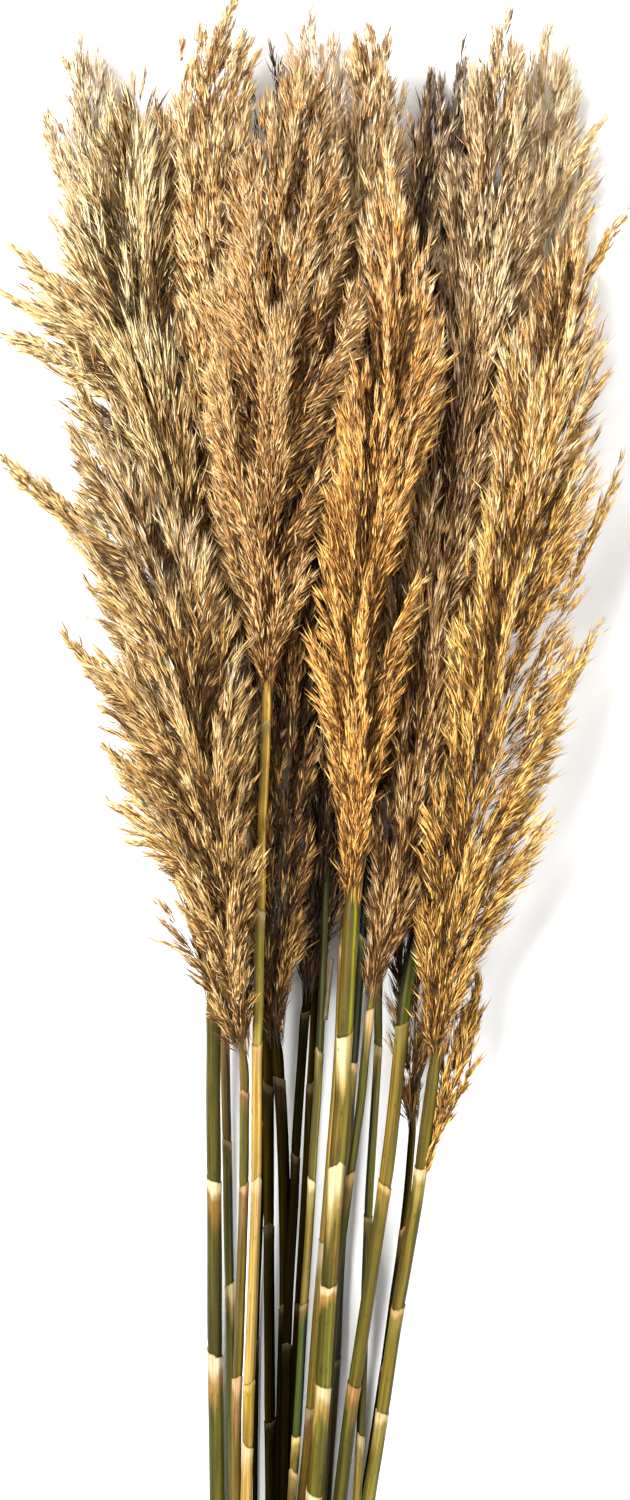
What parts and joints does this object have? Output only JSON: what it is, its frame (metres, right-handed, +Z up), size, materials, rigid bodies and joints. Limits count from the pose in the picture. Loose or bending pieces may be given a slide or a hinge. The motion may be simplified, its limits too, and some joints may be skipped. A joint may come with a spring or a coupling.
{
  "type": "bundle of pampas grass",
  "caption": "Loose bundle of cut, dried pampas grass lying on its side: slim jointed stalks fanning out into long feathery plumes.",
  "frame": {"origin": "middle of the bundle's footprint, on the surface it lies on", "axes": "+Y along the bundle from the cut ends to the plume tips, +Z up from the surface, X across the bundle"},
  "size_m": [0.3692, 0.9986, 0.1376],
  "materials": {
    "stalk_green": "dry, faintly glossy skin with fine lengthwise ribs",
    "stalk_straw": "dry straw sheath with fine lengthwise ribs",
    "stalk_dark": "dull dark weathered sheath",
    "plume_pale": "matte, silky fibres",
    "plume_gold": "matte, silky fibres",
    "plume_tan": "matte, silky fibres",
    "plume_dark": "matte, silky fibres",
    "dry_leaf": "matte papery dry leaf"
  },
  "bodies": {
    "root": {"stalk_a": "stalk_green", "stalk_b": "stalk_straw", "stalk_c": "stalk_straw", "stalk_d": "stalk_straw", "stalk_e": "stalk_dark", "stalk_f": "stalk_dark", "stalk_g": "stalk_dark", "stalk_h": "stalk_dark", "stalk_i": "stalk_dark", "stalk_j": "stalk_green", "stalk_l": "stalk_green", "stalk_m": "stalk_dark", "stalk_n": "stalk_straw", "stalk_o": "stalk_green", "stalk_p": "stalk_straw", "stalk_r": "stalk_green", "stalk_s": "stalk_dark", "stalk_t": "stalk_straw", "plume_a": "plume_pale", "plume_b": "plume_gold", "plume_c": "plume_tan", "plume_d": "plume_tan", "plume_e": "plume_dark", "plume_f": "plume_tan", "plume_g": "plume_tan", "plume_h": "plume_dark", "plume_i": "plume_tan", "plume_j": "plume_gold", "plume_l": "plume_gold", "plume_m": "plume_dark", "plume_n": "plume_tan", "plume_o": "plume_tan", "plume_p": "plume_gold", "plume_r": "plume_gold", "plume_s": "plume_dark", "plume_t": "plume_dark", "spray_a1": "plume_pale", "spray_a2": "plume_pale", "spray_a3": "plume_pale", "spray_b1": "plume_gold", "spray_c1": "plume_tan", "spray_c2": "plume_tan", "spray_c3": "plume_tan", "spray_p1": "plume_gold", "spray_r1": "plume_gold", "spray_r2": "plume_gold", "spray_r4": "plume_gold", "spray_r5": "plume_gold", "spray_r6": "plume_gold", "leaf_stub": "dry_leaf", "leaf_tuft_upper": "dry_leaf", "leaf_tuft_lower": "dry_leaf"}
  },
  "joints": []
}
